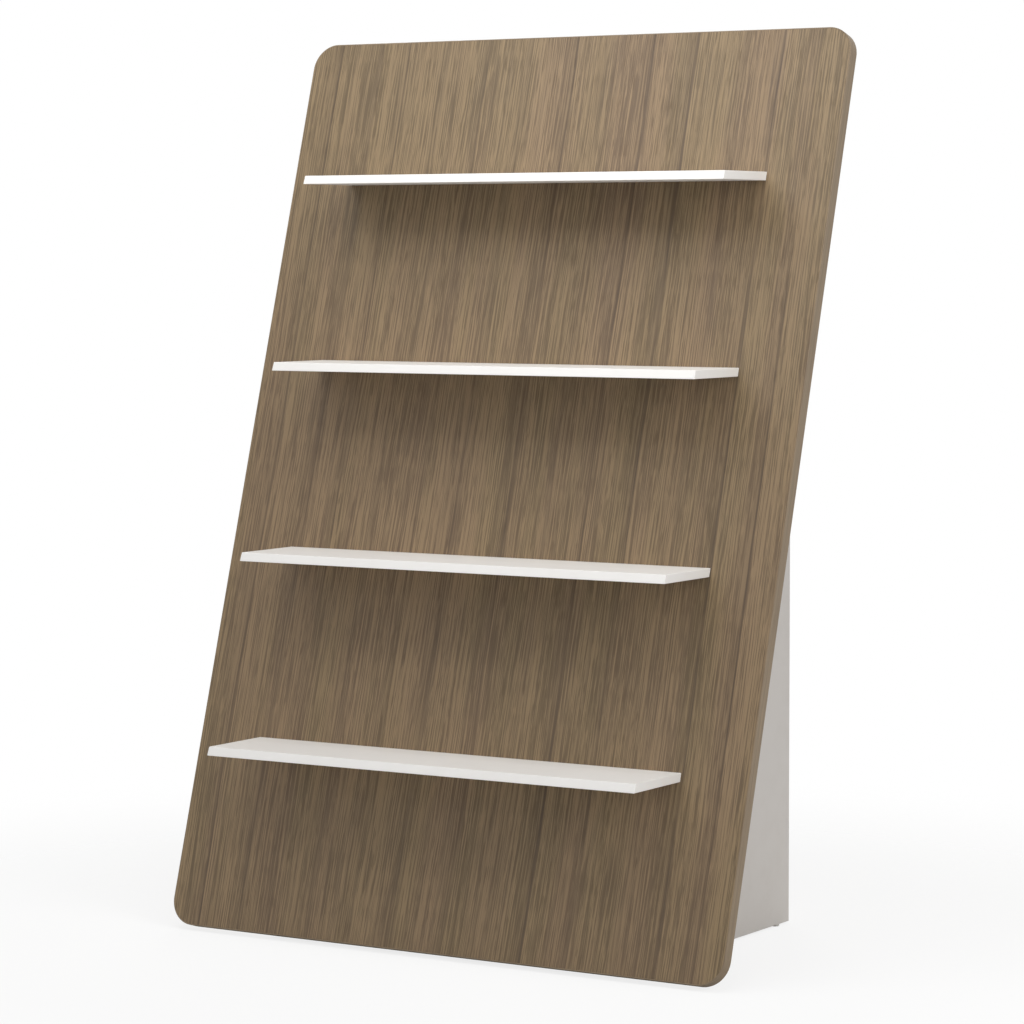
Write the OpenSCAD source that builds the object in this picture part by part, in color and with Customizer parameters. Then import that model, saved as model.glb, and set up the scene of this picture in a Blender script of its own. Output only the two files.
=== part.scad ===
// Leaning display panel with four level shelves, carried by a raked box support.
// Millimetres. X runs along the shelves, Y to the back, Z up. The origin lies on the
// floor, in the middle of the unit's width and depth.

/* [Panel] */
// Width of the leaning panel
panel_width = 1200; // [1040:10:1500]
// Length of the panel along its slope
panel_length = 1770; // [1640:2:2000]
// Thickness of the panel
panel_thickness = 25; // [22:1:36]
// Lean of the panel from upright, in degrees
panel_lean = 16.5; // [12:0.5:19]
// Outer radius of the panel's four corners
panel_corner_radius = 50; // [12:1:120]
// Thickness of the band glued round the panel's edge
edge_band_thickness = 2; // [0.8:0.1:3]

/* [Shelves] */
// Length of each shelf
shelf_length = 924; // [890:2:1030]
// Depth of each shelf's underside, from the panel's face to the front arris
shelf_depth = 165; // [110:1:220]
// Thickness of each shelf
shelf_thickness = 16; // [14:1:22]
// Lean of the shelf's front face from upright, in degrees
shelf_front_lean = 22; // [0:1:35]
// Height of the lowest shelf's underside above the floor
first_shelf_height = 350; // [220:1:420]
// Height from the top shelf's underside to the panel's upper edge
top_space_height = 283; // [200:1:400]

/* [Support] */
// Width of the support over its two gables
support_width = 764; // [640:2:790]
// Depth of the support, from the foot of the panel's face to the back
support_depth = 674; // [620:2:800]
// Rise of the support's top over the underside of the shelf just below it
support_shelf_rise = 73; // [60:1:250]
// Thickness of the support's boards
board_thickness = 18; // [16:1:25]
// Height of the glides under the gables
glide_height = 4; // [3:0.5:8]
// Diameter of the glides
glide_diameter = 16; // [12:0.5:16]
// Distance of each glide's centre from the end of the gable's foot
glide_inset = 40; // [20:1:80]
// Diameter of the glides' nails
nail_diameter = 2.4; // [1.6:0.1:3]
// Length of the glides' nails
nail_length = 14; // [8:1:20]
// Bevel round the glides and the screw covers
rim_bevel = 0.5; // [0.2:0.1:0.5]

/* [Shelf fastenings] */
// Diameter of the connector screws
screw_diameter = 7; // [5:0.5:8]
// Length of the connector screws
screw_length = 70; // [55:1:90]
// Diameter of the screw heads
screw_head_diameter = 10; // [9:0.5:12]
// Length of the screws' points
screw_point_length = 7; // [4:0.5:10]
// Depth of the straight rim of the screw heads
screw_head_rim = 1.6; // [1:0.1:3]
// Depth of the screw heads below the panel's rear face, along the screw
screw_head_sink = 3; // [2.5:0.1:5]
// Distance of the outer screws from the gables' inner faces
screw_gable_distance = 40; // [25:1:80]
// Diameter of the flat covers over the screw heads
cap_diameter = 18; // [15:1:24]
// Thickness of the flat covers
cap_thickness = 1; // [0.6:0.1:2]

/* [Carcass fastenings] */
// Diameter of the cam housings
cam_diameter = 15; // [12:0.5:18]
// Depth of the cam housings
cam_depth = 13.2; // [13:0.1:14]
// Distance of the bolt's axis from the inner face of the board that holds the cam
cam_axis = 9; // [8.5:0.1:9]
// Distance of the cam's centre from the joint
cam_setback = 34; // [30:1:45]
// Diameter of the cam bolts' shanks
bolt_diameter = 7; // [6:0.1:7]
// Diameter of the cam bolts' necks
bolt_neck_diameter = 4; // [3:0.1:5]
// Length of the cam bolts' necks
bolt_neck_length = 5; // [4:0.5:6]
// Length of the cam bolts' heads
bolt_head_length = 3; // [2:0.5:4]
// Diameter of the cam bolts' threaded ends
bolt_thread_diameter = 5; // [4:0.1:6]
// Length of the cam bolts' threaded ends
bolt_thread_length = 11; // [8:0.5:12]
// Width of the driver slot across each cam housing
slot_width = 2; // [1:0.1:3]
// Depth of the driver slot
slot_depth = 2.5; // [1:0.1:3]
// Diameter of the dowels
dowel_diameter = 8; // [6:0.5:8]
// Length of the dowels
dowel_length = 30; // [25:1:40]
// Part of each dowel's length that sits in the panel or gable
dowel_root = 11; // [9:0.5:12]
// Chamfer on the dowels' ends
dowel_chamfer = 1; // [0.5:0.1:2]
// Distance of the first and last cam from the ends of the panel's and back board's joints
joint_end_distance = 90; // [70:1:140]
// Distance of the first and last cam from the ends of the top board's joints
top_joint_end_distance = 45; // [40:1:70]

/* [Fit] */
// Clearance between a fastener and its hole, on the radius
hole_clearance = 0.1; // [0.05:0.05:0.2]
// Clearance at the bottom of a blind hole
hole_end_clearance = 0.8; // [0.3:0.1:1]

/* [Hidden] */
$fn = 64;
// Levels of the shelves, counted from the lowest
shelf_levels = [0, 1, 2, 3];
// Level of the shelf just below the support's top
support_level = 2;
// Screws in each shelf
screws_per_shelf = 4;
// Cams in each joint between a gable and the panel, the back board and the top board
panel_cams = 4;
back_cams = 3;
top_cams = 2;
// Overshoot of a cut past the face that it starts from
overshoot = 1;

// Height of the panel's front lower edge: its rear lower arris is level with the gables' feet
panel_foot_height = glide_height + panel_thickness * sin(panel_lean);
// Thickness of the panel along a level line
panel_run = panel_thickness / cos(panel_lean);
panel_foot_depth = panel_thickness * cos(panel_lean);
// Depth of the panel's front and rear face at a height, from the foot of the front face
function face_depth(z) = (z - panel_foot_height) * tan(panel_lean);
function rear_depth(z) = panel_foot_depth + (z - glide_height) * tan(panel_lean);
// Place on the panel's slope at which its rear face reaches a height
function rear_slope(z) = (z - glide_height) / cos(panel_lean);
// Height of the panel's upper edge, and the rise that spreads the shelves evenly below it
panel_top_height = panel_foot_height + panel_length * cos(panel_lean);
shelf_rise = (panel_top_height - top_space_height - first_shelf_height) / (len(shelf_levels) - 1);
// Height of a shelf's underside and of the fasteners in the middle of its thickness
function shelf_height(level) = first_shelf_height + level * shelf_rise;
function shelf_axis_height(level) = shelf_height(level) + shelf_thickness / 2;
// Evenly spaced places along a joint, from the first to the last
function spaced(first, last, count) = [for (i = [0:count - 1]) first + i * (last - first) / (count - 1)];
function middles(places) = [for (i = [0:len(places) - 2]) (places[i] + places[i + 1]) / 2];

// The unit's front and rear reach, which the origin halves
front_reach = min(0, face_depth(shelf_height(0)) - shelf_depth);
rear_reach = max(support_depth, panel_length * sin(panel_lean) + panel_foot_depth);
origin_depth = (front_reach + rear_reach) / 2;

support_height = shelf_height(support_level) + support_shelf_rise;
support_half = support_width / 2;
inner_half = support_half - board_thickness;
back_face = support_depth - board_thickness;
top_underside = support_height - board_thickness;
glide_distance = support_half - board_thickness / 2;
glide_depths = [panel_foot_depth + glide_inset, support_depth - glide_inset];

// Screw and dowel places along each shelf
outer_screw_distance = inner_half - screw_gable_distance;
screw_places = spaced(-outer_screw_distance, outer_screw_distance, screws_per_shelf);
shelf_dowel_places = middles(screw_places);
// Cam places: along the panel's slope, up the back board, and along the top board
panel_cam_places = spaced(joint_end_distance, rear_slope(top_underside) - joint_end_distance, panel_cams);
back_cam_places = spaced(glide_height + joint_end_distance, top_underside - joint_end_distance, back_cams);
top_cam_places = spaced(
    rear_depth(support_height) + top_joint_end_distance, back_face - top_joint_end_distance, top_cams);

// Placement

module from_foot() {
    translate([0, -origin_depth, 0])
        children();
}

// X across the panel, Y up its slope from the lower edge, Z out of its front face
module on_panel() {
    from_foot()
        translate([0, 0, panel_foot_height])
            rotate([90 - panel_lean, 0, 0])
                children();
}

// Extrudes an outline drawn in depth and height along X, centred
module across(length) {
    from_foot()
        rotate([90, 0, 90])
            translate([0, 0, -length / 2])
                linear_extrude(length)
                    children();
}

module both_sides() {
    children();
    mirror([1, 0, 0])
        children();
}

// Fastener frames: Z points away from the seat into the joined board, X to that board's inner face
module at_panel_joint(places) {
    for (place = places)
        on_panel()
            translate([inner_half + cam_axis, place, -panel_thickness])
                rotate([0, 180, 0])
                    children();
}

module at_back_joint(places) {
    for (place = places)
        from_foot()
            translate([inner_half, back_face + cam_axis, place])
                rotate([90, 0, -90])
                    children();
}

module at_top_joint(places) {
    for (place = places)
        from_foot()
            translate([inner_half, place, top_underside + cam_axis])
                rotate([180, 90, 0])
                    children();
}

// Shelf fastener frame: Z runs level to the back from the panel's front face
module at_shelf_joint(level, places) {
    height = shelf_axis_height(level);
    for (place = places)
        from_foot()
            translate([place, face_depth(height), height])
                rotate([-90, 0, 0])
                    children();
}

module at_glides() {
    for (depth = glide_depths)
        from_foot()
            translate([glide_distance, depth, 0])
                children();
}

// Fasteners

module connector_screw(clearance) {
    top = panel_run - screw_head_sink;
    rim = top - screw_head_rim;
    head_radius = screw_head_diameter / 2 + clearance;
    radius = screw_diameter / 2 + clearance;
    neck = rim - (head_radius - radius);
    tip = top - screw_length;
    rotate_extrude()
        polygon([
            [0, tip], [radius, tip + screw_point_length], [radius, neck],
            [head_radius, rim], [head_radius, top], [0, top]
        ]);
}

module dowel() {
    radius = dowel_diameter / 2;
    tip = dowel_length - dowel_root;
    rotate_extrude()
        polygon([
            [0, -dowel_root], [radius - dowel_chamfer, -dowel_root], [radius, dowel_chamfer - dowel_root],
            [radius, tip - dowel_chamfer], [radius - dowel_chamfer, tip], [0, tip]
        ]);
}

module cam_bolt() {
    neck = cam_setback - bolt_head_length - bolt_neck_length;
    thread_radius = bolt_thread_diameter / 2;
    neck_radius = bolt_neck_diameter / 2;
    radius = bolt_diameter / 2;
    rotate_extrude()
        polygon([
            [0, -bolt_thread_length], [thread_radius, -bolt_thread_length], [thread_radius, 0], [radius, 0],
            [radius, neck], [neck_radius, neck], [neck_radius, neck + bolt_neck_length],
            [radius, neck + bolt_neck_length], [radius, cam_setback], [0, cam_setback]
        ]);
}

module cam_housing() {
    difference() {
        translate([cam_axis - cam_depth, 0, cam_setback])
            rotate([0, 90, 0])
                cylinder(d = cam_diameter, h = cam_depth);
        cylinder(d = bolt_diameter + 2 * hole_clearance, h = cam_setback + hole_end_clearance);
        translate([cam_axis - slot_depth / 2 + overshoot / 2, 0, cam_setback])
            cube([slot_depth + overshoot, slot_width, cam_diameter - slot_depth], center = true);
    }
}

module screw_cap() {
    translate([0, 0, -cap_thickness])
        cylinder(d1 = cap_diameter - 2 * rim_bevel, d2 = cap_diameter, h = rim_bevel);
    translate([0, 0, rim_bevel - cap_thickness])
        cylinder(d = cap_diameter, h = cap_thickness - rim_bevel);
}

module floor_glide() {
    cylinder(d1 = glide_diameter - 2 * rim_bevel, d2 = glide_diameter, h = rim_bevel);
    translate([0, 0, rim_bevel])
        cylinder(d = glide_diameter, h = glide_height - rim_bevel);
    cylinder(d = nail_diameter, h = glide_height + nail_length);
}

// Holes for the fasteners

module screw_hole() {
    connector_screw(hole_clearance);
    translate([0, 0, panel_run - screw_head_sink - overshoot])
        cylinder(d = screw_head_diameter + 2 * hole_clearance, h = screw_head_sink + screw_head_diameter);
}

module dowel_hole() {
    translate([0, 0, -dowel_root - hole_end_clearance])
        cylinder(d = dowel_diameter + 2 * hole_clearance, h = dowel_length + 2 * hole_end_clearance);
}

module shelf_joint_holes(level) {
    at_shelf_joint(level, screw_places)
        screw_hole();
    at_shelf_joint(level, shelf_dowel_places)
        mirror([0, 0, 1])
            dowel_hole();
}

module bolt_seat_hole() {
    depth = bolt_thread_length + hole_end_clearance;
    translate([0, 0, -depth])
        cylinder(d = bolt_thread_diameter + 2 * hole_clearance, h = depth + overshoot);
}

module cam_hole() {
    depth = cam_depth + hole_clearance;
    translate([0, 0, -overshoot])
        cylinder(d = bolt_diameter + 2 * hole_clearance, h = cam_setback + overshoot);
    translate([cam_axis - depth, 0, cam_setback])
        rotate([0, 90, 0])
            cylinder(d = cam_diameter + 2 * hole_clearance, h = depth + overshoot);
}

module nail_hole() {
    cylinder(d = nail_diameter + 2 * hole_clearance, h = glide_height + nail_length + hole_end_clearance);
}

// Boards

// Rectangle on the panel's slope with round corners, set in from the panel's outline
module panel_outline(inset) {
    width = panel_width - 2 * inset;
    length = panel_length - 2 * inset;
    radius = panel_corner_radius - inset;
    translate([0, panel_length / 2]) {
        square([width - 2 * radius, length], center = true);
        square([width, length - 2 * radius], center = true);
        for (x = [-1, 1], y = [-1, 1])
            translate([x * (width / 2 - radius), y * (length / 2 - radius)])
                circle(radius);
    }
}

module display_panel() {
    color("tan")
        difference() {
            on_panel()
                translate([0, 0, -panel_thickness])
                    linear_extrude(panel_thickness)
                        panel_outline(edge_band_thickness);
            both_sides() {
                at_panel_joint(panel_cam_places)
                    bolt_seat_hole();
                at_panel_joint(middles(panel_cam_places))
                    dowel_hole();
            }
            for (level = shelf_levels)
                shelf_joint_holes(level);
        }
}

module panel_edge_band() {
    color("rosybrown")
        on_panel()
            translate([0, 0, -panel_thickness])
                linear_extrude(panel_thickness)
                    difference() {
                        panel_outline(0);
                        panel_outline(edge_band_thickness);
                    }
}

// Shelf with its rear edge cut to the panel's lean and its front face leaning back
module shelf(level) {
    bottom = shelf_height(level);
    top = bottom + shelf_thickness;
    front = face_depth(bottom) - shelf_depth;
    color("white")
        difference() {
            across(shelf_length)
                polygon([
                    [front, bottom], [face_depth(bottom), bottom], [face_depth(top), top],
                    [front + shelf_thickness * tan(shelf_front_lean), top]
                ]);
            shelf_joint_holes(level);
        }
}

module shelf_bottom() { shelf(shelf_levels[0]); }
module shelf_lower() { shelf(shelf_levels[1]); }
module shelf_upper() { shelf(shelf_levels[2]); }
module shelf_top() { shelf(shelf_levels[3]); }

// Gable with its front edge cut to the panel's rear face
module gable_right() {
    color("gainsboro")
        difference() {
            translate([support_half - board_thickness / 2, 0, 0])
                across(board_thickness)
                    polygon([
                        [rear_depth(glide_height), glide_height], [support_depth, glide_height],
                        [support_depth, support_height], [rear_depth(support_height), support_height]
                    ]);
            at_panel_joint(panel_cam_places)
                cam_hole();
            at_panel_joint(middles(panel_cam_places))
                dowel_hole();
            at_back_joint(back_cam_places)
                bolt_seat_hole();
            at_back_joint(middles(back_cam_places))
                dowel_hole();
            at_top_joint(top_cam_places)
                bolt_seat_hole();
            at_top_joint(middles(top_cam_places))
                dowel_hole();
            at_glides()
                nail_hole();
        }
}

module gable_left() {
    mirror([1, 0, 0])
        gable_right();
}

module back_board() {
    color("whitesmoke")
        difference() {
            across(2 * inner_half)
                polygon([
                    [back_face, glide_height], [support_depth, glide_height],
                    [support_depth, support_height], [back_face, support_height]
                ]);
            both_sides() {
                at_back_joint(back_cam_places)
                    cam_hole();
                at_back_joint(middles(back_cam_places))
                    dowel_hole();
            }
        }
}

// Top board with its front edge cut to the panel's rear face
module top_board() {
    color("whitesmoke")
        difference() {
            across(2 * inner_half)
                polygon([
                    [rear_depth(top_underside), top_underside], [back_face, top_underside],
                    [back_face, support_height], [rear_depth(support_height), support_height]
                ]);
            both_sides() {
                at_top_joint(top_cam_places)
                    cam_hole();
                at_top_joint(middles(top_cam_places))
                    dowel_hole();
            }
        }
}

// Groups of fasteners

module shelf_screws() {
    color("silver")
        for (level = shelf_levels)
            at_shelf_joint(level, screw_places)
                connector_screw(0);
}

module screw_caps() {
    color("saddlebrown")
        for (level = shelf_levels, place = screw_places)
            on_panel()
                translate([place, rear_slope(shelf_axis_height(level)), -panel_thickness])
                    screw_cap();
}

module shelf_dowels() {
    color("burlywood")
        for (level = shelf_levels)
            at_shelf_joint(level, shelf_dowel_places)
                mirror([0, 0, 1])
                    dowel();
}

module at_every_joint() {
    both_sides() {
        at_panel_joint(panel_cam_places)
            children();
        at_back_joint(back_cam_places)
            children();
        at_top_joint(top_cam_places)
            children();
    }
}

module cam_bolts() {
    color("silver")
        at_every_joint()
            cam_bolt();
}

module cam_housings() {
    color("darkgray")
        at_every_joint()
            cam_housing();
}

module carcass_dowels() {
    color("burlywood")
        both_sides() {
            at_panel_joint(middles(panel_cam_places))
                dowel();
            at_back_joint(middles(back_cam_places))
                dowel();
            at_top_joint(middles(top_cam_places))
                dowel();
        }
}

module floor_glides() {
    color("dimgray")
        both_sides()
            at_glides()
                floor_glide();
}

display_panel();
panel_edge_band();
shelf_bottom();
shelf_lower();
shelf_upper();
shelf_top();
gable_left();
gable_right();
back_board();
top_board();
shelf_screws();
screw_caps();
shelf_dowels();
cam_bolts();
cam_housings();
carcass_dowels();
floor_glides();
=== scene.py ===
"""Dresses the leaning display shelf unit: eased boards, wood-grain laminate and white coatings."""

import logging
import math
from dataclasses import dataclass
from enum import Enum
from typing import Any, Callable, Mapping, Optional, Sequence, Union

import bmesh
import bpy
from mathutils import Matrix, Vector


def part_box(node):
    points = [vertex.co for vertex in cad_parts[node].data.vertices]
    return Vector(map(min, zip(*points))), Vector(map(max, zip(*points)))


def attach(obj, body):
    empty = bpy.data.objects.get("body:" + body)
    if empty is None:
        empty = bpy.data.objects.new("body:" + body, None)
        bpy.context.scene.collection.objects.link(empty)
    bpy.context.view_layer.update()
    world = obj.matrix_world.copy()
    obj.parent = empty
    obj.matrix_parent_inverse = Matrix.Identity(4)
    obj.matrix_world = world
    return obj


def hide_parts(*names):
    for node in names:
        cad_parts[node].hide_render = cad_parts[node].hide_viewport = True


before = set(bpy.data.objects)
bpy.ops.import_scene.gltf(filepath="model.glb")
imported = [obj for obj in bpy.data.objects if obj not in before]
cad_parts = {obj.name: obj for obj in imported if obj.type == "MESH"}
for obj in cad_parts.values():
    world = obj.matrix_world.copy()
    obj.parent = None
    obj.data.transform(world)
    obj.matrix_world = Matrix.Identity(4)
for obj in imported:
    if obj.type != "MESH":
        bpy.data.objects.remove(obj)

LOG = logging.getLogger("display_shelf_unit")
BODY = "root"

Colour = tuple[float, float, float, float]
Number = Union[int, float]
Point = tuple[float, float, float]
FlatPoint = tuple[float, float]
Span = tuple[float, float]

# The display curve of colours as they are seen.
FULL_STEP = 255
CURVE_KNEE = 0.04045
CURVE_SLOPE = 12.92
CURVE_OFFSET = 0.055
CURVE_POWER = 2.4
WHITE: Colour = (1.0, 1.0, 1.0, 1.0)

# Every noise swings about this value.
NOISE_MIDDLE = 0.5

# The Mix node's sockets for colours.
MIX_SHARE = 0
MIX_FIRST = 6
MIX_SECOND = 7
MIX_RESULT = 2

# How meshes are cleaned, eased and shaded.
QUARTER_TURN = math.pi / 2
WELD_DISTANCE = 0.00001
FLAT_ANGLE = math.radians(0.5)
ARRIS_ANGLE = math.radians(30)
SHARP_ANGLE = math.radians(40)
ROUND_PROFILE = 0.5


def linear(step: Number) -> float:
    """Undoes the display curve for one channel.

    Args:
        step: The channel, from 0 to 255.

    Returns:
        The linear share, from 0 to 1.
    """
    share = step / FULL_STEP
    if share <= CURVE_KNEE:
        return share / CURVE_SLOPE
    return ((share + CURVE_OFFSET) / (1 + CURVE_OFFSET)) ** CURVE_POWER


def srgb(red: Number, green: Number, blue: Number) -> Colour:
    """Turns a colour as it is seen, in steps of 255, into the linear colour that a shader takes.

    Args:
        red: Red, from 0 to 255.
        green: Green, from 0 to 255.
        blue: Blue, from 0 to 255.

    Returns:
        The linear colour with full alpha.
    """
    return (linear(red), linear(green), linear(blue), 1.0)


@dataclass(frozen=True)
class Value:
    """One output socket, with arithmetic that adds Math nodes to its graph."""

    graph: "Graph"
    socket: Optional[bpy.types.NodeSocket]

    def math(self, operation: str, *operands: Any, clamp: bool = False) -> "Value":
        """Adds one Math node.

        Args:
            operation: The Math node's operation.
            *operands: Values or numbers, in socket order.
            clamp: Whether the result stays between 0 and 1.

        Returns:
            The node's result.
        """
        settings = {"operation": operation, "use_clamp": clamp}
        return self.graph.add("ShaderNodeMath", settings, dict(enumerate(operands)))

    def __add__(self, other: Any) -> "Value":
        """Adds."""
        return self.math("ADD", self, other)

    __radd__ = __add__

    def __sub__(self, other: Any) -> "Value":
        """Subtracts."""
        return self.math("SUBTRACT", self, other)

    def __rsub__(self, other: Any) -> "Value":
        """Subtracts from a number."""
        return self.math("SUBTRACT", other, self)

    def __mul__(self, other: Any) -> "Value":
        """Multiplies."""
        return self.math("MULTIPLY", self, other)

    __rmul__ = __mul__

    def __pow__(self, other: Any) -> "Value":
        """Raises to a power."""
        return self.math("POWER", self, other)

    def __rpow__(self, other: Any) -> "Value":
        """Raises a number to this power."""
        return self.math("POWER", other, self)

    def fraction(self) -> "Value":
        """Gives the part after the whole number."""
        return self.math("FRACT", self)

    def whole(self) -> "Value":
        """Gives the whole number below."""
        return self.math("FLOOR", self)

    def size(self) -> "Value":
        """Gives the value without its sign."""
        return self.math("ABSOLUTE", self)

    def larger(self, other: Any) -> "Value":
        """Gives the larger of two values."""
        return self.math("MAXIMUM", self, other)

    def clamped(self) -> "Value":
        """Keeps the value between 0 and 1."""
        return self.math("ADD", self, 0.0, clamp=True)

    def swing(self) -> "Value":
        """Gives how far a noise swings from its middle."""
        return self - NOISE_MIDDLE

    def zigzag(self) -> "Value":
        """Runs from 1 to 0 and back for each whole number."""
        return self.fraction().swing().size() * 2

    def above(self, least: float) -> "Value":
        """Squeezes a share of 0 to 1 into what lies above the least."""
        return self * (1 - least) + least

    def blend(self, other: "Value", share: float) -> "Value":
        """Mixes in a share of another value."""
        return self * (1 - share) + other * share

    def step(self, low: Number, high: Number) -> "Value":
        """Rises smoothly from 0 at low to 1 at high.

        Args:
            low: Where the rise starts.
            high: Where the rise ends.

        Returns:
            The eased share.
        """
        settings = {"interpolation_type": "SMOOTHSTEP"}
        inputs = {"Value": self, "From Min": low, "From Max": high}
        return self.graph.add("ShaderNodeMapRange", settings, inputs)


class Graph:
    """A node tree that is written as expressions."""

    def __init__(self, tree: bpy.types.NodeTree) -> None:
        """Takes a node tree and empties it.

        Args:
            tree: The tree that the nodes go into.
        """
        self.tree = tree
        self.tree.nodes.clear()

    def add(
        self,
        kind: str,
        settings: Optional[Mapping[str, Any]] = None,
        inputs: Optional[Mapping[Union[int, str], Any]] = None,
        output: Union[int, str] = 0,
    ) -> Value:
        """Adds a node of any type.

        Args:
            kind: The node's type.
            settings: Its own settings, set first.
            inputs: Values or links by socket name or number.
            output: The output that is wanted.

        Returns:
            That output, wrapped.
        """
        node = self.tree.nodes.new(kind)
        for name, setting in (settings or {}).items():
            setattr(node, name, setting)
        for key, given in (inputs or {}).items():
            if isinstance(given, Value):
                self.tree.links.new(given.socket, node.inputs[key])
            else:
                node.inputs[key].default_value = given
        return Value(self, node.outputs[output] if node.outputs else None)

    def place(self) -> Value:
        """Gives the place on the piece, in metres along its own axes."""
        return self.add("ShaderNodeTexCoord", output="Object")

    def axes(self, vector: Value) -> tuple[Value, Value, Value]:
        """Splits a vector.

        Args:
            vector: The vector.

        Returns:
            Its three parts.
        """
        split = self.add("ShaderNodeSeparateXYZ", inputs={0: vector})
        x, y, z = (Value(self, part) for part in split.socket.node.outputs)
        return x, y, z

    def vector(self, x: Any, y: Any, z: Any = 0.0) -> Value:
        """Joins three values or numbers to a vector."""
        return self.add("ShaderNodeCombineXYZ", inputs={0: x, 1: y, 2: z})

    def noise(self, vector: Value, scale: float, detail: float, rough: float) -> Value:
        """Adds a smooth noise.

        Args:
            vector: Where it is read.
            scale: Lumps per metre.
            detail: Octaves added.
            rough: Weight of each octave.

        Returns:
            The noise.
        """
        sockets = {"Vector": vector, "Scale": scale, "Detail": detail, "Roughness": rough}
        return self.add("ShaderNodeTexNoise", inputs=sockets)

    def mix(self, share: Any, first: Any, second: Any) -> Value:
        """Mixes two colours.

        Args:
            share: How much of the second colour.
            first: The first colour.
            second: The second colour.

        Returns:
            The mixed colour.
        """
        settings = {"data_type": "RGBA", "blend_type": "MIX"}
        sockets = {MIX_SHARE: share, MIX_FIRST: first, MIX_SECOND: second}
        return self.add("ShaderNodeMix", settings, sockets, MIX_RESULT)

    def bump(self, height: Value, depth: float, strength: float = 1.0) -> Value:
        """Turns a height into a normal.

        Args:
            height: The height, from 0 to 1.
            depth: What a height of 1 stands for, in metres.
            strength: How much of it shows.

        Returns:
            The bumped normal.
        """
        sockets = {"Height": height, "Distance": depth, "Strength": strength}
        return self.add("ShaderNodeBump", inputs=sockets)

    def surface(self, **sockets: Any) -> None:
        """Ends the graph in a Principled surface.

        Args:
            **sockets: Values or links by socket name, with underscores for spaces.
        """
        inputs = {name.replace("_", " "): given for name, given in sockets.items()}
        shader = self.add("ShaderNodeBsdfPrincipled", inputs=inputs)
        self.add("ShaderNodeOutputMaterial", inputs={"Surface": shader})


@dataclass(frozen=True)
class Lumps:
    """A noise that is alike in all directions, by its lumps per metre."""

    scale: float
    detail: float = 2.0
    rough: float = 0.5

    def read(self, graph: Graph, place: Value) -> Value:
        """Reads the noise at a place."""
        return graph.noise(place, self.scale, self.detail, self.rough)


@dataclass(frozen=True)
class Grain:
    """A noise that is stretched, by its lumps per metre along each axis."""

    across: float
    along: float
    deep: float = 0.0
    detail: float = 2.0
    rough: float = 0.5

    def read(self, graph: Graph, x: Any, y: Any, z: Any = 1.0) -> Value:
        """Reads the noise at a place.

        Args:
            graph: The graph that the nodes go into.
            x: The place across the grain.
            y: The place along the grain.
            z: The place through the board, or 1 where the noise is flat and deep picks its layer.

        Returns:
            The noise.
        """
        place = graph.vector(x * self.across, y * self.along, z * self.deep)
        return graph.noise(place, 1.0, self.detail, self.rough)


@dataclass(frozen=True)
class RingSet:
    """Rings at uneven spacing, each with a weight of its own."""

    per_metre: float
    sway: float
    seed: int

    def count(self, graph: Graph, across: Value, spacing: Value) -> tuple[Value, Value]:
        """Counts the rings across the grain.

        Args:
            graph: The graph that the nodes go into.
            across: The place across the grain.
            spacing: The noise that makes the spacing uneven.

        Returns:
            The share of the way to the next ring, and the ring's weight from 0 to 1.
        """
        turn = across * self.per_metre + spacing * self.sway
        settings = {"noise_dimensions": "1D"}
        inputs = {"W": turn.whole() + self.seed}
        return turn.fraction(), graph.add("ShaderNodeTexWhiteNoise", settings, inputs)


@dataclass(frozen=True)
class RingLine:
    """The dark line of a ring: where it rises and falls on the way to the next ring."""

    rise: Span
    fall: Span
    strength: float

    def draw(self, share: Value) -> Value:
        """Draws the line over the share of the way."""
        return share.step(*self.rise) * (1 - share.step(*self.fall)) * self.strength


class Finish:
    """A finish that makes its material once."""

    name: str

    def paint(self, graph: Graph) -> None:
        """Draws the finish into a graph."""
        raise NotImplementedError

    def material(self) -> bpy.types.Material:
        """Makes the material, or gives the one made before.

        Returns:
            The material.
        """
        made = bpy.data.materials.get(self.name)
        if made is None:
            made = bpy.data.materials.new(self.name)
            made.use_nodes = True
            self.paint(Graph(made.node_tree))
        return made


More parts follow.
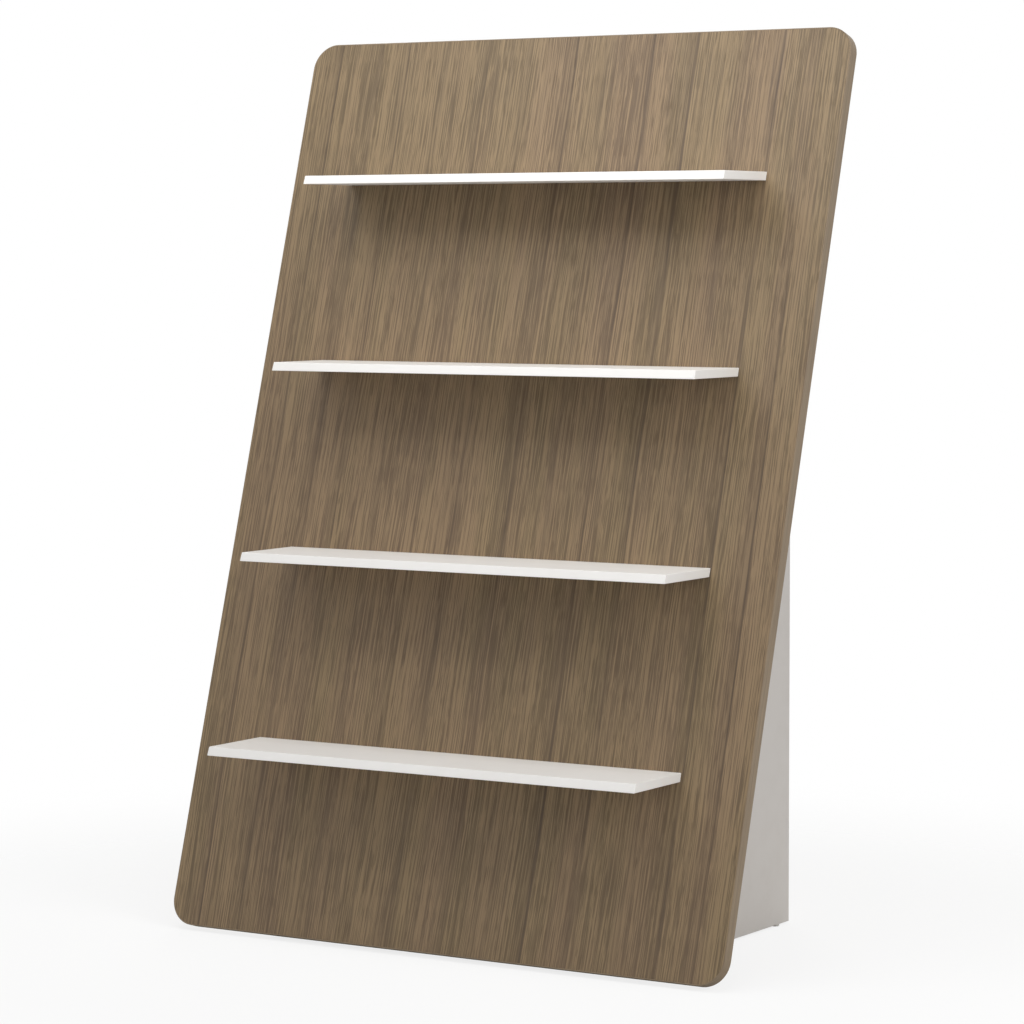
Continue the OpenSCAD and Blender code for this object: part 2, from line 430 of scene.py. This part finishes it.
@dataclass(frozen=True)
class WoodLaminate(Finish):
    """Straight-grained grey-brown wood print, X across the grain and Y along it."""

    name: str = "straight_grain_laminate"
    light: Colour = srgb(150, 127, 95)
    dark: Colour = srgb(91, 74, 52)
    ring: Colour = srgb(72, 56, 41)
    rosy: Colour = srgb(128, 104, 83)
    olive: Colour = srgb(119, 102, 73)

    # How far the grain wanders from straight, in metres.
    slow: Grain = Grain(1.1, 0.7, detail=1.0)
    slow_wander: float = 0.036
    quick: Grain = Grain(11.0, 2.6)
    quick_wander: float = 0.0048

    # Growth rings with a shade on one side, and weaker lines between them.
    spacing: Grain = Grain(6.0, 1.0)
    spacing_row: float = 0.5
    fade: Grain = Grain(9.0, 0.9)
    fade_span: Span = (0.34, 0.62)
    strong_set: RingSet = RingSet(11.0, 1.8, 0)
    strong_shade: RingLine = RingLine((0.45, 0.96), (0.965, 1.0), 0.42)
    strong_line: RingLine = RingLine((0.90, 0.955), (0.965, 0.995), 0.86)
    least_weight: float = 0.25
    least_fade: float = 0.4
    weak_set: RingSet = RingSet(31.0, 3.1, 50)
    weak_line: RingLine = RingLine((0.70, 0.90), (0.92, 1.0), 0.52)
    weak_fade: float = 0.6

    # Even threads that come and go in patches.
    threads_per_metre: float = 150.0
    drift: Grain = Grain(45.0, 1.8, 5.0)
    drift_threads: float = 5.0
    patch: Grain = Grain(24.0, 2.2, 9.0, 1.0)
    patch_span: Span = (0.3, 0.7)

    # Short dark pores in clusters, and short light gleams.
    tick: Grain = Grain(430.0, 23.0, detail=1.0, rough=0.6)
    tick_span: Span = (0.53, 0.66)
    cluster: Grain = Grain(38.0, 3.4)
    cluster_span: Span = (0.36, 0.66)
    least_pores: float = 0.3
    gleam: Grain = Grain(390.0, 18.0, 3.0, 1.0)
    gleam_span: Span = (0.54, 0.66)

    # Bands, streaks and threads, and how much each layer changes the tone.
    band: Grain = Grain(15.0, 0.4)
    streak: Grain = Grain(62.0, 1.3, rough=0.6)
    thread: Grain = Grain(410.0, 4.6, rough=0.7)
    band_tone: float = 1.6
    streak_tone: float = 0.5
    thread_tone: float = 5.6
    comb_tone: float = 0.95
    pore_tone: float = 0.58
    gleam_tone: float = 0.50
    hue: Grain = Grain(9.0, 0.8, 7.0)
    hue_span: Span = (0.38, 0.62)
    hue_share: float = 0.28
    ring_share: float = 0.8

    # The pressed relief and the sheen.
    level: float = 0.6
    thread_relief: float = 0.4
    pore_relief: float = 0.6
    ring_relief: float = 0.15
    depth: float = 0.00012
    roughness: float = 0.60
    streak_sheen: float = 0.14
    pore_dullness: float = 0.12

    def rings(self, graph: Graph, across: Value, along: Value) -> Value:
        """Draws growth rings: a thin dark line each, with a shade that fades off to one side.

        Args:
            graph: The graph that the nodes go into.
            across: The place across the grain, wandering a little.
            along: The place along the grain.

        Returns:
            How dark the rings are, from 0 to 1.
        """
        spacing = self.spacing.read(graph, across, self.spacing_row)
        fade = self.fade.read(graph, across, along).step(*self.fade_span)
        share, weight = self.strong_set.count(graph, across, spacing)
        strong = self.strong_shade.draw(share) + self.strong_line.draw(share)
        strong = strong * weight.above(self.least_weight) * fade.above(self.least_fade)
        share, weight = self.weak_set.count(graph, across, spacing)
        weak = self.weak_line.draw(share) * weight * (1 - fade * self.weak_fade)
        return (strong + weak).clamped()

    def comb(self, graph: Graph, across: Value, along: Value) -> Value:
        """Draws even threads that come and go.

        Args:
            graph: The graph that the nodes go into.
            across: The place across the grain, wandering a little.
            along: The place along the grain.

        Returns:
            How much lighter or darker the threads are, about 0.
        """
        drift = self.drift.read(graph, across, along) * self.drift_threads
        threads = (across * self.threads_per_metre + drift).zigzag().swing()
        return threads * self.patch.read(graph, across, along).step(*self.patch_span)

    def pores(self, graph: Graph, across: Value, along: Value) -> Value:
        """Draws short pores in clusters.

        Args:
            graph: The graph that the nodes go into.
            across: The place across the grain, wandering a little.
            along: The place along the grain.

        Returns:
            How deep the pores are, from 0 to 1.
        """
        tick = self.tick.read(graph, across, along).step(*self.tick_span)
        cluster = self.cluster.read(graph, across, along).step(*self.cluster_span)
        return tick * cluster.above(self.least_pores)

    def paint(self, graph: Graph) -> None:
        """Draws growth rings, streaks, threads, pores and a slow drift of hue.

        Args:
            graph: The graph that the nodes go into.
        """
        x, y, _ = graph.axes(graph.place())
        slow = self.slow.read(graph, x, y).swing() * self.slow_wander
        quick = self.quick.read(graph, x, y).swing() * self.quick_wander
        across = x + slow + quick
        ring = self.rings(graph, across, y)
        comb = self.comb(graph, across, y)
        pore = self.pores(graph, across, y)
        gleam = self.gleam.read(graph, across, y).step(*self.gleam_span)
        band = self.band.read(graph, across, y)
        streak = self.streak.read(graph, across, y)
        thread = self.thread.read(graph, across, y)
        tone = NOISE_MIDDLE + band.swing() * self.band_tone + streak.swing() * self.streak_tone
        tone = tone + thread.swing() * self.thread_tone + comb * self.comb_tone
        tone = tone - pore * self.pore_tone + gleam * self.gleam_tone
        hue = self.hue.read(graph, across, y).step(*self.hue_span)
        wood = graph.mix(tone.clamped(), self.dark, self.light)
        wood = graph.mix(self.hue_share, wood, graph.mix(hue, self.olive, self.rosy))
        wood = graph.mix(ring * self.ring_share, wood, self.ring)
        relief = self.level + thread * self.thread_relief
        relief = relief - pore * self.pore_relief - ring * self.ring_relief
        graph.surface(
            Base_Color=wood,
            Roughness=self.roughness - streak * self.streak_sheen + pore * self.pore_dullness,
            Normal=graph.bump(relief, self.depth),
        )


@dataclass(frozen=True)
class EdgeStrip(Finish):
    """Wood-print strip glued round the panel, its grain running along the strip."""

    name: str = "wood_print_edge_strip"
    light: Colour = srgb(150, 131, 105)
    dark: Colour = srgb(113, 96, 76)
    streak: Grain = Grain(5.0, 5.0, 260.0, 3.0, 0.6)
    thread: Grain = Grain(26.0, 26.0, 900.0, 2.0, 0.6)
    streak_tone: float = 1.3
    thread_tone: float = 0.9
    thread_relief: float = 0.4
    depth: float = 0.00008
    roughness: float = 0.58
    streak_sheen: float = 0.10

    def paint(self, graph: Graph) -> None:
        """Draws streaks and fine threads along the strip.

        Args:
            graph: The graph that the nodes go into.
        """
        x, y, z = graph.axes(graph.place())
        streak = self.streak.read(graph, x, y, z)
        thread = self.thread.read(graph, x, y, z)
        tone = NOISE_MIDDLE + streak.swing() * self.streak_tone + thread.swing() * self.thread_tone
        graph.surface(
            Base_Color=graph.mix(tone.clamped(), self.dark, self.light),
            Roughness=self.roughness - streak * self.streak_sheen,
            Normal=graph.bump(streak.blend(thread, self.thread_relief), self.depth),
        )


@dataclass(frozen=True)
class CoatedBoard(Finish):
    """White coated board with a fine pebbled skin."""

    name: str
    colour: Colour
    worn: Colour
    roughness: float
    depth: float
    cloud: Lumps = Lumps(3.1, 4.0, 0.55)
    rub: Lumps = Lumps(23.0, 3.0, 0.6)
    rub_share: float = 0.4
    worn_span: Span = (0.42, 0.72)
    worn_share: float = 0.55
    pebble: Lumps = Lumps(900.0)
    skin: Lumps = Lumps(210.0)
    skin_relief: float = 0.4
    relief: float = 0.6
    rub_sheen: float = 0.10
    skin_sheen: float = 0.06

    def paint(self, graph: Graph) -> None:
        """Draws the skin's pebble, its uneven sheen and a faint cloud of handling marks.

        Args:
            graph: The graph that the nodes go into.
        """
        place = graph.place()
        cloud = self.cloud.read(graph, place)
        rub = self.rub.read(graph, place)
        pebble = self.pebble.read(graph, place)
        skin = self.skin.read(graph, place)
        worn = cloud.blend(rub, self.rub_share).step(*self.worn_span)
        sheen = rub.swing() * self.rub_sheen + skin.swing() * self.skin_sheen
        graph.surface(
            Base_Color=graph.mix(worn * self.worn_share, self.colour, self.worn),
            Roughness=self.roughness + sheen,
            Normal=graph.bump(pebble.blend(skin, self.skin_relief), self.depth, self.relief),
        )


@dataclass(frozen=True)
class PlatedSteel(Finish):
    """Bright plated or cast metal of the fittings."""

    name: str = "bright_zinc_plating"
    colour: Colour = srgb(200, 200, 196)
    stain: Colour = srgb(168, 166, 158)
    roughness: float = 0.32
    grain: Lumps = Lumps(2600.0)
    spots: Lumps = Lumps(160.0, 3.0, 0.6)
    stain_span: Span = (0.45, 0.70)
    spot_sheen: float = 0.20
    grain_sheen: float = 0.10
    depth: float = 0.00002

    def paint(self, graph: Graph) -> None:
        """Draws a fine grain and dull spots.

        Args:
            graph: The graph that the nodes go into.
        """
        place = graph.place()
        spots = self.spots.read(graph, place)
        grain = self.grain.read(graph, place)
        sheen = spots.swing() * self.spot_sheen + grain.swing() * self.grain_sheen
        graph.surface(
            Base_Color=graph.mix(spots.step(*self.stain_span), self.colour, self.stain),
            Metallic=1.0,
            Roughness=self.roughness + sheen,
            Normal=graph.bump(grain, self.depth),
        )


@dataclass(frozen=True)
class RawBeech(Finish):
    """Raw turned beech of the dowels."""

    name: str = "raw_beech"
    light: Colour = srgb(214, 180, 138)
    dark: Colour = srgb(186, 146, 102)
    fleck: Grain = Grain(300.0, 300.0, 300.0)
    thread: Grain = Grain(900.0, 120.0, 900.0, 3.0)
    thread_share: float = 0.5
    tone_span: Span = (0.35, 0.65)
    roughness: float = 0.62
    fleck_sheen: float = 0.12
    depth: float = 0.00005

    def paint(self, graph: Graph) -> None:
        """Draws short flecks and fine threads.

        Args:
            graph: The graph that the nodes go into.
        """
        x, y, z = graph.axes(graph.place())
        fleck = self.fleck.read(graph, x, y, z)
        thread = self.thread.read(graph, x, y, z)
        tone = fleck.blend(thread, self.thread_share).step(*self.tone_span)
        graph.surface(
            Base_Color=graph.mix(tone, self.dark, self.light),
            Roughness=self.roughness + fleck.swing() * self.fleck_sheen,
            Normal=graph.bump(thread, self.depth),
        )


@dataclass(frozen=True)
class MouldedPlastic(Finish):
    """Plain moulded plastic with a spark-eroded skin."""

    name: str
    colour: Colour
    shade: Colour
    cloud: Lumps = Lumps(40.0)
    cloud_span: Span = (0.35, 0.65)
    grain: Lumps = Lumps(3200.0)
    roughness: float = 0.50
    grain_sheen: float = 0.16
    depth: float = 0.00002

    def paint(self, graph: Graph) -> None:
        """Draws the mould's fine texture and a slow change of tone.

        Args:
            graph: The graph that the nodes go into.
        """
        place = graph.place()
        cloud = self.cloud.read(graph, place)
        grain = self.grain.read(graph, place)
        graph.surface(
            Base_Color=graph.mix(cloud.step(*self.cloud_span), self.colour, self.shade),
            Roughness=self.roughness + grain.swing() * self.grain_sheen,
            Normal=graph.bump(grain, self.depth),
        )


@dataclass(frozen=True)
class StudioFloor(Finish):
    """Pale floor that takes the shadow near the unit and fades into the white surround."""

    name: str = "pale_floor"
    colour: Colour = srgb(243, 243, 242)
    dust: Colour = srgb(232, 232, 230)
    grain: Lumps = Lumps(60.0, 3.0)
    dust_share: float = 0.03
    roughness: float = 0.6
    lift: float = 0.8
    clearing: Span = (0.88, 2.2)

    def paint(self, graph: Graph) -> None:
        """Draws a matte floor, lifted towards white for the camera, that clears with distance.

        Args:
            graph: The graph that the nodes go into.
        """
        x, y, _ = graph.axes(graph.place())
        away = ((x * x + y * y) ** 0.5).step(*self.clearing)
        dust = self.grain.read(graph, graph.vector(x, y)) * self.dust_share
        tone = graph.mix(dust, self.colour, self.dust)
        matte_sockets = {"Color": tone, "Roughness": self.roughness}
        matte = graph.add("ShaderNodeBsdfDiffuse", inputs=matte_sockets)
        white = graph.add("ShaderNodeEmission", inputs={"Color": WHITE, "Strength": 1.0})
        clear = graph.add("ShaderNodeBsdfTransparent")
        camera = graph.add("ShaderNodeLightPath", output="Is Camera Ray")
        lift = camera * self.lift
        lit = graph.add("ShaderNodeMixShader", inputs={0: lift, 1: matte, 2: white})
        faded = graph.add("ShaderNodeMixShader", inputs={0: away, 1: lit, 2: clear})
        graph.add("ShaderNodeOutputMaterial", inputs={"Surface": faded})


class Slot(Enum):
    """Material slots of the record, kept with the boards but not read."""

    PANEL = "panel_laminate"
    STRIP = "edge_band"
    SHELF = "white_shelf"
    BOARD = "white_board"


class Finishes(Enum):
    """The finishes of the unit and its floor."""

    LAMINATE = WoodLaminate()
    STRIP = EdgeStrip()
    SHELF = CoatedBoard(
        name="white_shelf_coating",
        colour=srgb(250, 248, 245),
        worn=srgb(243, 240, 236),
        roughness=0.38,
        depth=0.00002,
    )
    # Painted shade in part: the support's coating is set greyer than the shelves' white to stand
    # in for the shade that the overhanging panel casts on the support, and in part it is the
    # board's own pale grey.
    BOARD = CoatedBoard(
        name="white_board_coating_partly_painted_shade",
        colour=srgb(208, 203, 198),
        worn=srgb(200, 194, 188),
        roughness=0.50,
        depth=0.00004,
    )
    ZINC = PlatedSteel()
    CAST = PlatedSteel(
        name="raw_zinc_casting",
        colour=srgb(176, 177, 178),
        stain=srgb(146, 147, 148),
        roughness=0.48,
        grain=Lumps(1500.0),
    )
    BEECH = RawBeech()
    CAP = MouldedPlastic("brown_cover_plastic", srgb(120, 103, 84), srgb(104, 88, 70))
    GLIDE = MouldedPlastic("pale_glide_plastic", srgb(214, 212, 206), srgb(200, 197, 190))
    FLOOR = StudioFloor()


def add_piece(
    name: str,
    mesh: bpy.types.Mesh,
    finish: Finishes,
    nodes: Sequence[str],
    stance: Optional[Matrix] = None,
) -> bpy.types.Object:
    """Puts a mesh into the scene as a piece that stands for CAD nodes.

    Args:
        name: The piece's name.
        mesh: Its mesh.
        finish: Its finish.
        nodes: The CAD nodes that it replaces.
        stance: Where its own axes lie, or None for the unit's axes.

    Returns:
        The new object.
    """
    piece = bpy.data.objects.new(name, mesh)
    bpy.context.scene.collection.objects.link(piece)
    if stance is not None:
        piece.matrix_world = stance
    mesh.materials.clear()
    mesh.materials.append(finish.value.material())
    mesh.set_sharp_from_angle(angle=SHARP_ANGLE)
    even = piece.modifiers.new("even_normals", "WEIGHTED_NORMAL")
    even.keep_sharp = True
    bpy.context.view_layer.update()
    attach(piece, BODY)
    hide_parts(*nodes)
    LOG.info("%s stands for %s in %s", name, ", ".join(nodes), finish.name.lower())
    return piece


def smooth_mesh(build: bmesh.types.BMesh, name: str) -> bpy.types.Mesh:
    """Turns what was built into a smooth-shaded mesh.

    Args:
        build: The vertices and faces, which are let go.
        name: The new mesh's name.

    Returns:
        The new mesh.
    """
    for face in build.faces:
        face.smooth = True
    mesh = bpy.data.meshes.new(name)
    build.to_mesh(mesh)
    build.free()
    return mesh


def eased_copy(
    node: str,
    name: str,
    arris: float,
    steps: int,
    wanted: Callable[[bmesh.types.BMEdge], bool],
    stance: Optional[Matrix] = None,
) -> bpy.types.Mesh:
    """Copies a CAD node's mesh with all its bores and eases the arrises that are wanted.

    Args:
        node: The CAD node.
        name: The new mesh's name.
        arris: How far each arris is eased.
        steps: Facets across an arris.
        wanted: Tells whether a sharp edge is eased.
        stance: The axes that the copy is laid in, or None for the unit's axes.

    Returns:
        The new mesh.
    """
    build = bmesh.new()
    build.from_mesh(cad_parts[node].data)
    if stance is not None:
        bmesh.ops.transform(build, matrix=stance.inverted(), verts=build.verts)
    bmesh.ops.remove_doubles(build, verts=build.verts, dist=WELD_DISTANCE)
    bmesh.ops.dissolve_limit(
        build, angle_limit=FLAT_ANGLE, verts=build.verts, edges=build.edges
    )
    arrises = [
        edge for edge in build.edges
        if len(edge.link_faces) == 2 and edge.calc_face_angle() > ARRIS_ANGLE and wanted(edge)
    ]
    bmesh.ops.bevel(
        build,
        geom=arrises,
        offset=arris,
        offset_type="OFFSET",
        segments=steps,
        profile=ROUND_PROFILE,
        affect="EDGES",
        clamp_overlap=False,
    )
    return smooth_mesh(build, name)


@dataclass
class LeaningPanel:
    """The leaning board with its rounded corners and the strip glued round its edge."""

    width: float = 1.2
    length: float = 1.77
    thickness: float = 0.025
    corner: float = 0.05
    strip: float = 0.002
    lean: float = math.radians(16.5)
    arris: float = 0.0009
    joint: float = 0.00025
    corner_steps: int = 24
    arris_steps: int = 4
    joint_steps: int = 2

    def stance(self) -> Matrix:
        """Gives the panel's own axes: X across, Y up the slope from its foot, Z out of its face.

        Returns:
            The matrix from the panel's axes to the unit's.
        """
        low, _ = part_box("panel_edge_band")
        foot = Vector((0.0, low.y, low.z + self.thickness * math.sin(self.lean)))
        return Matrix.Translation(foot) @ Matrix.Rotation(QUARTER_TURN - self.lean, 4, "X")

    def outline(self, inset: float) -> list[FlatPoint]:
        """Lays out the panel's rounded outline.

        Args:
            inset: How far inside the panel's outer edge it runs.

        Returns:
            Points in order round the outline.
        """
        radius = self.corner - inset
        across = self.width / 2 - self.corner
        along = self.length / 2 - self.corner
        points = []
        for turn, (side, end) in enumerate(((1, 1), (-1, 1), (-1, -1), (1, -1))):
            for step in range(self.corner_steps + 1):
                angle = QUARTER_TURN * (turn + step / self.corner_steps)
                x = side * across + radius * math.cos(angle)
                y = self.length / 2 + end * along + radius * math.sin(angle)
                points.append((x, y))
        return points

    def on_outline(self, edge: bmesh.types.BMEdge) -> bool:
        """Tells whether an edge of the board lies on its outline, under the strip.

        Args:
            edge: The edge, in the panel's own axes.

        Returns:
            Whether both its ends lie there.
        """
        insets = []
        for point in edge.verts:
            across = abs(point.co.x) - self.width / 2 + self.corner
            along = abs(point.co.y - self.length / 2) - self.length / 2 + self.corner
            reach = math.hypot(across, along) if min(across, along) > 0 else max(across, along)
            insets.append(self.corner - reach)
        return max(insets) < self.strip + self.joint

    def loft(self, name: str, section: Sequence[FlatPoint]) -> bpy.types.Mesh:
        """Runs a closed section round the outline.

        Args:
            name: The mesh's name.
            section: Insets and heights of the section's points, in order.

        Returns:
            The closed mesh.
        """
        build = bmesh.new()
        loops = []
        for inset, height in section:
            loops.append([build.verts.new((x, y, height)) for x, y in self.outline(inset)])
        for first, second in zip(loops, loops[1:] + loops[:1]):
            for here in range(len(first)):
                after = (here + 1) % len(first)
                build.faces.new((first[after], first[here], second[here], second[after]))
        bmesh.ops.recalc_face_normals(build, faces=build.faces)
        return smooth_mesh(build, name)

    def eased(self, height: float, start: float) -> list[FlatPoint]:
        """Rounds one outer arris of the strip's section by a quarter turn.

        Args:
            height: Height of the quarter's centre.
            start: The angle at which the quarter starts, with 0 towards the outside.

        Returns:
            The quarter's points.
        """
        points = []
        for step in range(self.arris_steps + 1):
            angle = start - QUARTER_TURN * step / self.arris_steps
            inset = self.arris - self.arris * math.cos(angle)
            points.append((inset, height + self.arris * math.sin(angle)))
        return points

    def build(self) -> list[bpy.types.Object]:
        """Builds the board and its strip.

        Returns:
            The two pieces.
        """
        back = -self.thickness
        section = (
            [(self.strip, -self.joint)]
            + self.eased(-self.arris, QUARTER_TURN)
            + self.eased(back + self.arris, 0.0)
            + [(self.strip, back + self.joint)]
        )
        stance = self.stance()
        board = eased_copy(
            "display_panel", "leaning_board", self.joint, self.joint_steps, self.on_outline, stance
        )
        strip = self.loft("edge_strip", section)
        return [
            add_piece(
                "leaning_board", board, Finishes.LAMINATE, ["display_panel"], stance
            ),
            add_piece(
                "edge_strip", strip, Finishes.STRIP, ["panel_edge_band"], stance
            ),
        ]


@dataclass
class EasedBoard:
    """A flat board whose long arrises are eased, with the holes of its CAD node."""

    node: str
    name: str
    finish: Finishes
    slot: Slot
    arris: float
    shortest: float
    steps: int = 3

    def is_long(self, edge: bmesh.types.BMEdge) -> bool:
        """Tells whether an edge is long enough to be an arris of the board."""
        return edge.calc_length() > self.shortest

    def build(self) -> bpy.types.Object:
        """Copies the node's mesh and eases its long arrises.

        Returns:
            The piece.
        """
        mesh = eased_copy(self.node, self.name, self.arris, self.steps, self.is_long)
        return add_piece(self.name, mesh, self.finish, [self.node])


@dataclass
class ShelfSet:
    """The four level shelves."""

    levels: tuple[str, ...] = ("bottom", "lower", "upper", "top")
    arris: float = 0.001
    shortest: float = 0.012

    def build(self) -> list[bpy.types.Object]:
        """Builds each shelf.

        Returns:
            The shelves, from the lowest up.
        """
        shelves = []
        for level in self.levels:
            shelf = EasedBoard(
                node=f"shelf_{level}",
                name=f"{level}_shelf_board",
                finish=Finishes.SHELF,
                slot=Slot.SHELF,
                arris=self.arris,
                shortest=self.shortest,
            )
            shelves.append(shelf.build())
        return shelves


@dataclass
class SupportBox:
    """The raked box behind the panel."""

    boards: tuple[str, ...] = ("gable_left", "gable_right", "back_board", "top_board")
    arris: float = 0.0007
    shortest: float = 0.1

    def build(self) -> list[bpy.types.Object]:
        """Builds the gables, the back and the top.

        Returns:
            The boards.
        """
        boards = []
        for node in self.boards:
            board = EasedBoard(
                node=node,
                name=f"{node}_coated",
                finish=Finishes.BOARD,
                slot=Slot.BOARD,
                arris=self.arris,
                shortest=self.shortest,
            )
            boards.append(board.build())
        return boards


@dataclass
class Fittings:
    """The screws, caps, dowels, cams and glides, which keep their CAD shapes."""

    finishes: tuple[tuple[str, Finishes], ...] = (
        ("shelf_screws", Finishes.ZINC),
        ("screw_caps", Finishes.CAP),
        ("shelf_dowels", Finishes.BEECH),
        ("cam_bolts", Finishes.ZINC),
        ("cam_housings", Finishes.CAST),
        ("carcass_dowels", Finishes.BEECH),
        ("floor_glides", Finishes.GLIDE),
    )

    def dress(self) -> None:
        """Gives each group of fittings its finish."""
        for node, finish in self.finishes:
            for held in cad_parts[node].material_slots:
                held.material = finish.value.material()
            LOG.info("%s in %s", node, finish.name.lower())


@dataclass(frozen=True)
class SoftBox:
    """A rectangular studio lamp."""

    name: str
    stands: Point
    aims: Point
    size: tuple[float, float]
    watts: float

    def build(self) -> None:
        """Hangs the lamp and turns it to its aim."""
        lamp = bpy.data.lights.new(self.name, "AREA")
        lamp.shape = "RECTANGLE"
        lamp.size, lamp.size_y = self.size
        lamp.energy = self.watts
        hung = bpy.data.objects.new(self.name, lamp)
        hung.visible_camera = False
        bpy.context.scene.collection.objects.link(hung)
        hung.location = self.stands
        towards = Vector(self.aims) - Vector(self.stands)
        hung.rotation_euler = towards.to_track_quat("-Z", "Y").to_euler()


@dataclass
class Studio:
    """Floor, lamps, white surround and the photograph's camera."""

    lamps: tuple[SoftBox, ...] = (
        SoftBox("key_above_front", (0.0, -0.90, 2.75), (0.0, 0.1, 1.3), (2.8, 1.6), 30.0),
        SoftBox("fill_right", (4.05, -1.5, 2.45), (0.0, 0.0, 0.9), (2.0, 2.0), 64.0),
        SoftBox("fill_back", (-2.4, 3.6, 2.6), (0.0, 0.2, 0.8), (2.0, 2.0), 88.0),
    )
    ambient: float = 0.41
    floor_size: float = 9.0
    lens: float = 128.93
    sensor: float = 36.0
    shift: float = -0.08
    sight_limit: float = 100.0
    azimuth: float = math.radians(31.842)
    pitch: float = math.radians(2.75)
    distance: float = 6.6552
    aside: float = 0.1458
    height: float = 1.2901

    def build_floor(self) -> None:
        """Lays the pale floor."""
        half = self.floor_size / 2
        rim = [(-half, -half, 0.0), (half, -half, 0.0), (half, half, 0.0), (-half, half, 0.0)]
        mesh = bpy.data.meshes.new("studio_floor")
        mesh.from_pydata(rim, [], [(0, 1, 2, 3)])
        mesh.materials.append(Finishes.FLOOR.value.material())
        floor = bpy.data.objects.new("studio_floor", mesh)
        bpy.context.scene.collection.objects.link(floor)

    def build_surround(self) -> None:
        """Sets a surround that is white where it is seen and lights the unit evenly."""
        world = bpy.data.worlds.new("white_surround")
        world.use_nodes = True
        graph = Graph(world.node_tree)
        camera = graph.add("ShaderNodeLightPath", output="Is Camera Ray")
        glossy = graph.add("ShaderNodeLightPath", output="Is Glossy Ray")
        through = graph.add("ShaderNodeLightPath", output="Is Transmission Ray")
        seen = camera.larger(glossy).larger(through)
        soft_sockets = {"Color": WHITE, "Strength": self.ambient}
        soft = graph.add("ShaderNodeBackground", inputs=soft_sockets)
        white = graph.add("ShaderNodeBackground", inputs={"Color": WHITE, "Strength": 1.0})
        mixed = graph.add("ShaderNodeMixShader", inputs={0: seen, 1: soft, 2: white})
        graph.add("ShaderNodeOutputWorld", inputs={"Surface": mixed})
        bpy.context.scene.world = world

    def build_camera(self) -> None:
        """Stands the camera where the photograph was taken from."""
        low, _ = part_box("panel_edge_band")
        ahead = Vector((-math.sin(self.azimuth), math.cos(self.azimuth), 0.0))
        right = Vector((math.cos(self.azimuth), math.sin(self.azimuth), 0.0))
        up = Vector((0.0, 0.0, 1.0))
        data = bpy.data.cameras.new("photograph_camera")
        data.lens = self.lens
        data.sensor_width = self.sensor
        data.shift_y = self.shift
        data.clip_end = self.sight_limit
        camera = bpy.data.objects.new("photograph_camera", data)
        bpy.context.scene.collection.objects.link(camera)
        foot = Vector((0.0, low.y, 0.0))
        camera.location = foot - ahead * self.distance + right * self.aside + up * self.height
        sight = ahead * math.cos(self.pitch) - up * math.sin(self.pitch)
        camera.rotation_euler = sight.to_track_quat("-Z", "Y").to_euler()
        bpy.context.scene.camera = camera

    def build(self) -> None:
        """Builds the whole studio."""
        self.build_floor()
        self.build_surround()
        for lamp in self.lamps:
            lamp.build()
        self.build_camera()
        bpy.context.scene.view_settings.view_transform = "Standard"
        LOG.info("studio with %d lamps", len(self.lamps))


def main() -> None:
    """Builds the unit and its studio."""
    logging.basicConfig(level=logging.INFO, format="%(name)s: %(message)s")
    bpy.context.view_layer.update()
    Studio().build()
    LeaningPanel().build()
    ShelfSet().build()
    SupportBox().build()
    Fittings().dress()
    bpy.context.view_layer.update()


if __name__ == "__main__":
    main()
